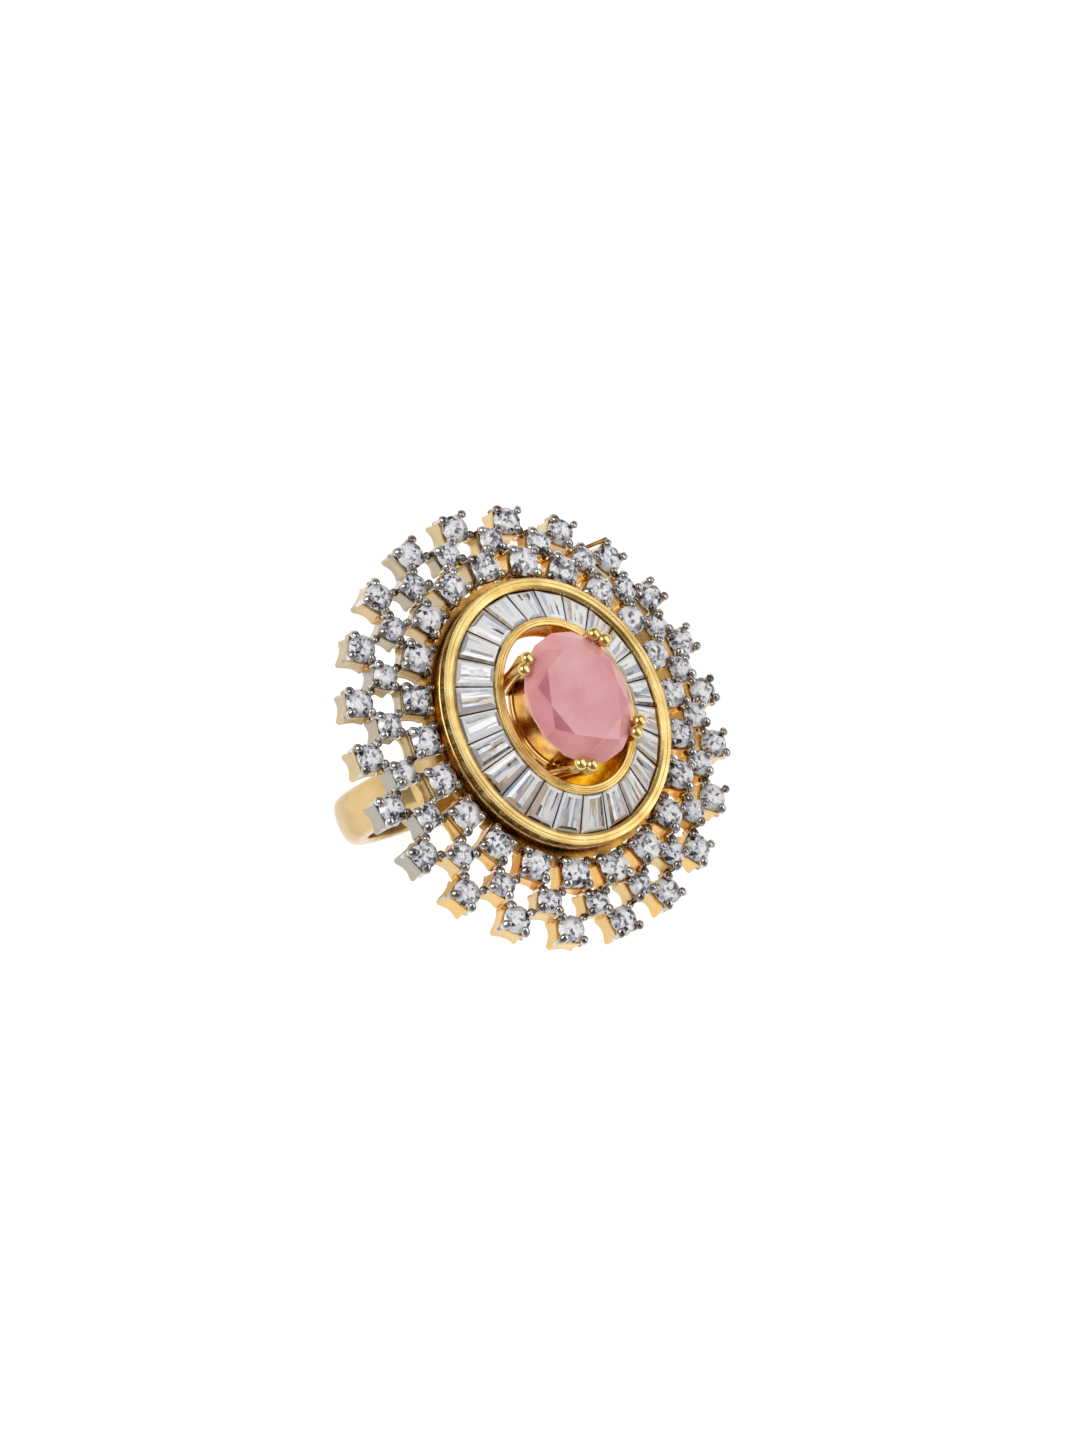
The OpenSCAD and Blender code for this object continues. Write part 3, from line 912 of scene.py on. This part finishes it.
def halo():
    """Three rows of collets, claws and brilliants at the CAD's places, each turned a little."""
    for row in ROWS:
        boxes = solids("stones_" + row)
        centres = [((a[0] + b[0]) / 2, (a[1] + b[1]) / 2) for a, b in boxes]
        long, short = fit_oval(centres)
        side = COLLET_SIDE[row]
        reach = side / 2 - CLAW_INSET
        stones, claws, walls = Shape(), Shape(), Shape()
        for (x, y), (a, b) in zip(centres, boxes):
            r = (b[0] - a[0]) / 2
            girdle_z = a[2] + PAVILION * r
            heading = math.atan2(y / long**2, x / short**2) + math.radians(chance.uniform(-3, 3))
            lean = Matrix.Rotation(math.radians(chance.uniform(-2, 2)), 4, "X")
            lean = lean @ Matrix.Rotation(math.radians(chance.uniform(-2, 2)), 4, "Y")
            place = Matrix.Translation((x, y, girdle_z)) @ Matrix.Rotation(heading, 4, "Z") @ lean

            (verts, faces), per_wall = collet(side)
            bearing = math.degrees(math.atan2(y, x)) % 360
            tones = [plating(row, bearing, turn) + chance.uniform(-0.08, 0.08) for turn in range(4)]
            walls.add(verts, faces, place, shades=[tones[f[0] // per_wall % 4] for f in faces])

            for sx in (-1, 1):
                for sy in (-1, 1):
                    claws.add(*halo_claw(sx * reach, sy * reach), place)
            if near_loose_wire(row, x, y, long, short, len(boxes)):
                claws.add(*tube([Vector(p) for p in LOOSE_WIRE], LOOSE_WIRE_R), place, kind=1)

            verts, faces, _ = brilliant(r, CROWN * r, PAVILION * r)
            spun = place @ Matrix.Rotation(chance.uniform(0, TAU), 4, "Z")
            # Random facet tones: painted reflections in the clear stone.
            stones.add(verts, faces, spun, shades=[chance.random() for _ in faces])
        piece("halo_settings_" + row, walls, [plated], "yellow_gold", "collets_" + row, smooth=40)
        metals = [rhodium, painted_shade_gold] if row == "outer" else [rhodium]
        piece("halo_prongs_" + row, claws, metals, "rhodium", "claws_" + row, smooth=70)
        piece(
            "halo_brilliants_" + row, stones, [painted_brilliant_reflections], "clear_stone", "stones_" + row, smooth=0
        )
    keep("solder_outer", deep_gold)
    keep("solder_inner", deep_gold)
    keep("halo_links", painted_shade_gold)


# ---- Studio -----------------------------------------------------------------

DISTANCE = 400
LENS = 139
SENSOR = 36
OFF_CENTRE = (1.377, 0.701)
FORWARD = Vector((0.4587, 0.0908, -0.8839))
UPWARD = Vector((0.3136, 0.9142, 0.2566))

FLOOR_REACH = 4
LAMP_DISTANCE = 0.45
# Name, direction from the head, side in metres and watts
LAMPS = (
    ("key", Vector((-0.75, 0.45, 0.75)), 0.3, 0.8),
    ("fill", Vector((0.65, -0.5, 0.6)), 0.25, 0.4),
    ("overhead", Vector((0.46, 0.09, 0.88)), 0.4, 0.6),
)


def studio():
    """A pale floor, three soft lamps and the camera at the photo's angle."""
    scene = bpy.context.scene
    scene.view_settings.view_transform = "Standard"
    floor_z = cad_box[0].z
    mesh = bpy.data.meshes.new("floor")
    turns = ((-1, -1), (1, -1), (1, 1), (-1, 1))
    mesh.from_pydata([(x * FLOOR_REACH, y * FLOOR_REACH, floor_z) for x, y in turns], [], [(0, 1, 2, 3)])
    floor = bpy.data.objects.new("floor", mesh)
    scene.collection.objects.link(floor)
    m, nodes, links, bsdf = new_material("floor_paper")
    tone = noise(nodes, links, coords(nodes), 60, 3.0)
    greys = [(0.3, (0.6, 0.6, 0.6)), (0.7, (0.63, 0.63, 0.63))]
    links.new(ramp(nodes, links, tone, greys), bsdf.inputs["Base Color"])
    bsdf.inputs["Roughness"].default_value = 0.9
    bsdf.inputs["Specular IOR Level"].default_value = 0.0
    bsdf.inputs["Emission Color"].default_value = (1, 1, 1, 1)
    bsdf.inputs["Emission Strength"].default_value = 0.75
    mesh.materials.append(m)

    world = bpy.data.worlds.new("studio")
    scene.world = world
    world.use_nodes = True
    nodes, links = world.node_tree.nodes, world.node_tree.links
    back = nodes["Background"]
    parts = nodes.new("ShaderNodeSeparateXYZ")
    links.new(nodes.new("ShaderNodeTexCoord").outputs["Generated"], parts.inputs["Vector"])
    stops = [(0.0, (0.95, 0.95, 0.95)), (0.45, (0.5, 0.5, 0.52)), (1.0, (0.2, 0.2, 0.21))]
    sky = ramp(nodes, links, parts.outputs["Z"], stops)
    links.new(sky, back.inputs["Color"])
    back.inputs["Strength"].default_value = 0.55

    aim = Vector((0, 0, half_axes("outer_rail")[3]))
    forward = FORWARD.normalized()
    right = forward.cross(UPWARD).normalized()
    up = right.cross(forward)
    for name, direction, size, power in LAMPS:
        data = bpy.data.lights.new(name, "AREA")
        data.shape = "SQUARE"
        data.size = size
        data.energy = power
        lamp = bpy.data.objects.new(name, data)
        scene.collection.objects.link(lamp)
        lamp.location = aim * MM + direction.normalized() * LAMP_DISTANCE
        lamp.rotation_mode = "QUATERNION"
        lamp.rotation_quaternion = (-direction).to_track_quat("-Z", "Y")

    data = bpy.data.cameras.new("camera")
    camera = bpy.data.objects.new("camera", data)
    scene.collection.objects.link(camera)
    data.sensor_width = SENSOR
    data.lens = LENS
    data.clip_start, data.clip_end = 0.01, 20
    place = aim - DISTANCE * forward - OFF_CENTRE[0] * right - OFF_CENTRE[1] * up
    turn = Matrix((right, up, -forward)).transposed()
    camera.matrix_world = Matrix.Translation(place * MM) @ turn.to_4x4()
    scene.camera = camera


shank()
shoulder(1, "shoulder_right")
shoulder(-1, "shoulder_left")
gallery()
channel()
baguettes()
basket(*centre_stone())
halo()
studio()
